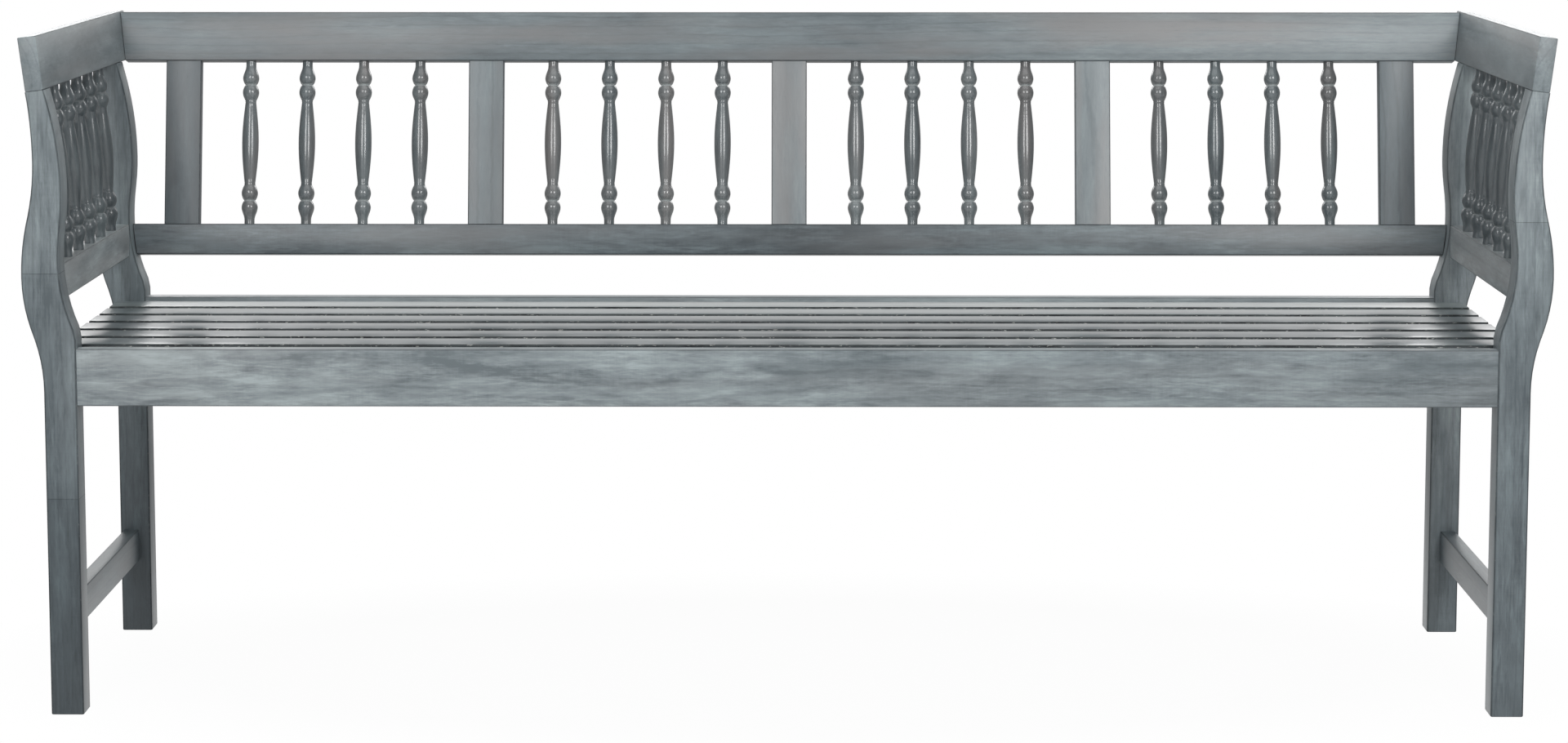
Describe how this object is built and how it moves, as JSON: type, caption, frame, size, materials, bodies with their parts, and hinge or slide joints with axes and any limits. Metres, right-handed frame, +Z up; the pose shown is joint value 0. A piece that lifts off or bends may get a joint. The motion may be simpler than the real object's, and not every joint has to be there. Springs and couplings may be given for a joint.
{
  "type": "deacons bench",
  "caption": "Long wooden deacons bench with a slatted seat, S-curved legs, turned spindles in the back and arms, and a grey washed finish.",
  "frame": {"origin": "on the floor, under the middle of the bench", "axes": "+X along the bench to its right end, +Y from the front to the back, +Z up"},
  "size_m": [1.85, 0.6, 0.8317],
  "materials": {
    "frame_wood": "grey washed, satin",
    "seat_wood": "grey washed, semi-gloss",
    "turned_wood": "grey washed, satin",
    "dowel_wood": "raw",
    "bolt_steel": "zinc plated",
    "screw_steel": "zinc plated"
  },
  "bodies": {
    "root": {"arm_dowels": "dowel_wood", "back_slat_1": "frame_wood", "back_slat_2": "frame_wood", "back_slat_3": "frame_wood", "back_slat_4": "frame_wood", "back_slat_5": "frame_wood", "back_spindle_1": "turned_wood", "back_spindle_10": "turned_wood", "back_spindle_11": "turned_wood", "back_spindle_12": "turned_wood", "back_spindle_13": "turned_wood", "back_spindle_14": "turned_wood", "back_spindle_15": "turned_wood", "back_spindle_16": "turned_wood", "back_spindle_2": "turned_wood", "back_spindle_3": "turned_wood", "back_spindle_4": "turned_wood", "back_spindle_5": "turned_wood", "back_spindle_6": "turned_wood", "back_spindle_7": "turned_wood", "back_spindle_8": "turned_wood", "back_spindle_9": "turned_wood", "barrel_nuts": "bolt_steel", "frame_bolts": "bolt_steel", "front_apron": "frame_wood", "front_left_leg": "frame_wood", "front_right_leg": "frame_wood", "left_arm_board": "frame_wood", "left_arm_rail": "frame_wood", "left_arm_spindle_1": "turned_wood", "left_arm_spindle_2": "turned_wood", "left_arm_spindle_3": "turned_wood", "left_arm_spindle_4": "turned_wood", "left_arm_spindle_5": "turned_wood", "left_seat_rail": "frame_wood", "left_stretcher": "frame_wood", "lower_back_rail": "frame_wood", "rear_left_leg": "frame_wood", "rear_right_leg": "frame_wood", "rear_seat_rail": "frame_wood", "right_arm_board": "frame_wood", "right_arm_rail": "frame_wood", "right_arm_spindle_1": "turned_wood", "right_arm_spindle_2": "turned_wood", "right_arm_spindle_3": "turned_wood", "right_arm_spindle_4": "turned_wood", "right_arm_spindle_5": "turned_wood", "right_seat_rail": "frame_wood", "right_stretcher": "frame_wood", "seat_bearer_1": "frame_wood", "seat_bearer_2": "frame_wood", "seat_bearer_3": "frame_wood", "seat_slat_1": "seat_wood", "seat_slat_2": "seat_wood", "seat_slat_3": "seat_wood", "seat_slat_4": "seat_wood", "seat_slat_5": "seat_wood", "seat_slat_6": "seat_wood", "slat_screws": "screw_steel", "top_back_rail": "frame_wood"}
  },
  "joints": []
}
